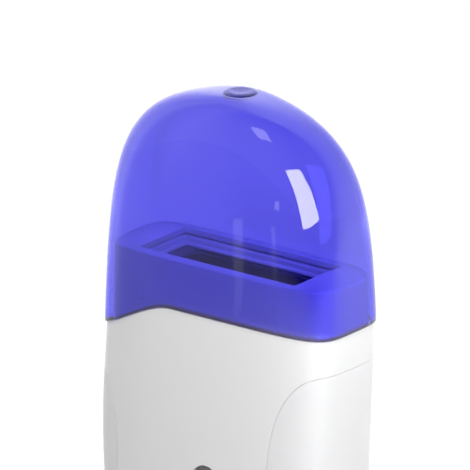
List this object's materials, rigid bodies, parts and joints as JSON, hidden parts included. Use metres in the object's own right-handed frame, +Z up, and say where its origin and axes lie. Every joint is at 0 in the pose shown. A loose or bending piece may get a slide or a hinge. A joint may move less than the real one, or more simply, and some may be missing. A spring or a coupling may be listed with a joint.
{
  "type": "roll-on wax heater",
  "caption": "Slim handheld heater for roll-on wax cartridges: white housing with grip panels, level window and push button, under a clear blue dome cap.",
  "frame": {"origin": "centre of the foot pad's underside, on the axis of the housing", "axes": "+X along the wide faces towards the end where the cap's rim stays level, -Y out of the wide face with the button, +Y out of the face with the mains inlet, +Z up from the foot to the crown of the cap"},
  "size_m": [0.091, 0.0391, 0.2006],
  "materials": {
    "cap_plastic": "clear blue-violet, polished",
    "housing_plastic": "white, polished",
    "grip_plastic": "white, satin",
    "deck_plastic": "white, satin",
    "window_plastic": "clear",
    "foot_rubber": "matte",
    "chamber_aluminium": "as cast",
    "silicone": "matte",
    "ceramic": "unglazed ceramic",
    "electrode_aluminium": "rolled",
    "film": "amber film",
    "thermostat_body": "moulded",
    "steel": "zinc plated",
    "fuse_metal": "drawn case",
    "button_plastic": "satin",
    "switch_plastic": "moulded",
    "board": "paper laminate",
    "led_plastic": "clear red",
    "lens_plastic": "frosted",
    "resistor_body": "lacquered",
    "terminal_plastic": "moulded",
    "inlet_plastic": "moulded",
    "pin_brass": "nickelled"
  },
  "bodies": {
    "body": {"housing_sleeve": "housing_plastic", "grip_right": "grip_plastic", "grip_left": "grip_plastic", "level_window": "window_plastic", "base_plate": "housing_plastic", "foot_pad": "foot_rubber", "top_deck": "deck_plastic", "heating_chamber": "chamber_aluminium", "chamber_gasket": "silicone", "ptc_stones": "ceramic", "electrode_plates": "electrode_aluminium", "insulating_films": "film", "thermostat": "thermostat_body", "thermostat_strap": "steel", "thermal_fuse": "fuse_metal", "fuse_clip": "steel", "deck_screws": "steel", "chamber_screws": "steel", "base_screws": "steel", "strap_screws": "steel", "power_switch": "switch_plastic", "circuit_board": "board", "indicator_led": "led_plastic", "indicator_lens": "lens_plastic", "led_resistor": "resistor_body", "terminal_block": "terminal_plastic", "mains_inlet": "inlet_plastic", "inlet_pins": "pin_brass"},
    "cap": {"cap": "cap_plastic"},
    "button": {"power_button": "button_plastic", "switch_plunger": "switch_plastic"}
  },
  "joints": [
    {"name": "cap_lift", "type": "slide", "parent": "body", "child": "cap", "axis": [0, 0, 1], "range_m": [0, 0.045]},
    {"name": "button_press", "type": "slide", "parent": "body", "child": "button", "axis": [0, 1, 0], "range_m": [0, 0.0012], "stiffness_N_per_m": 1200}
  ]
}
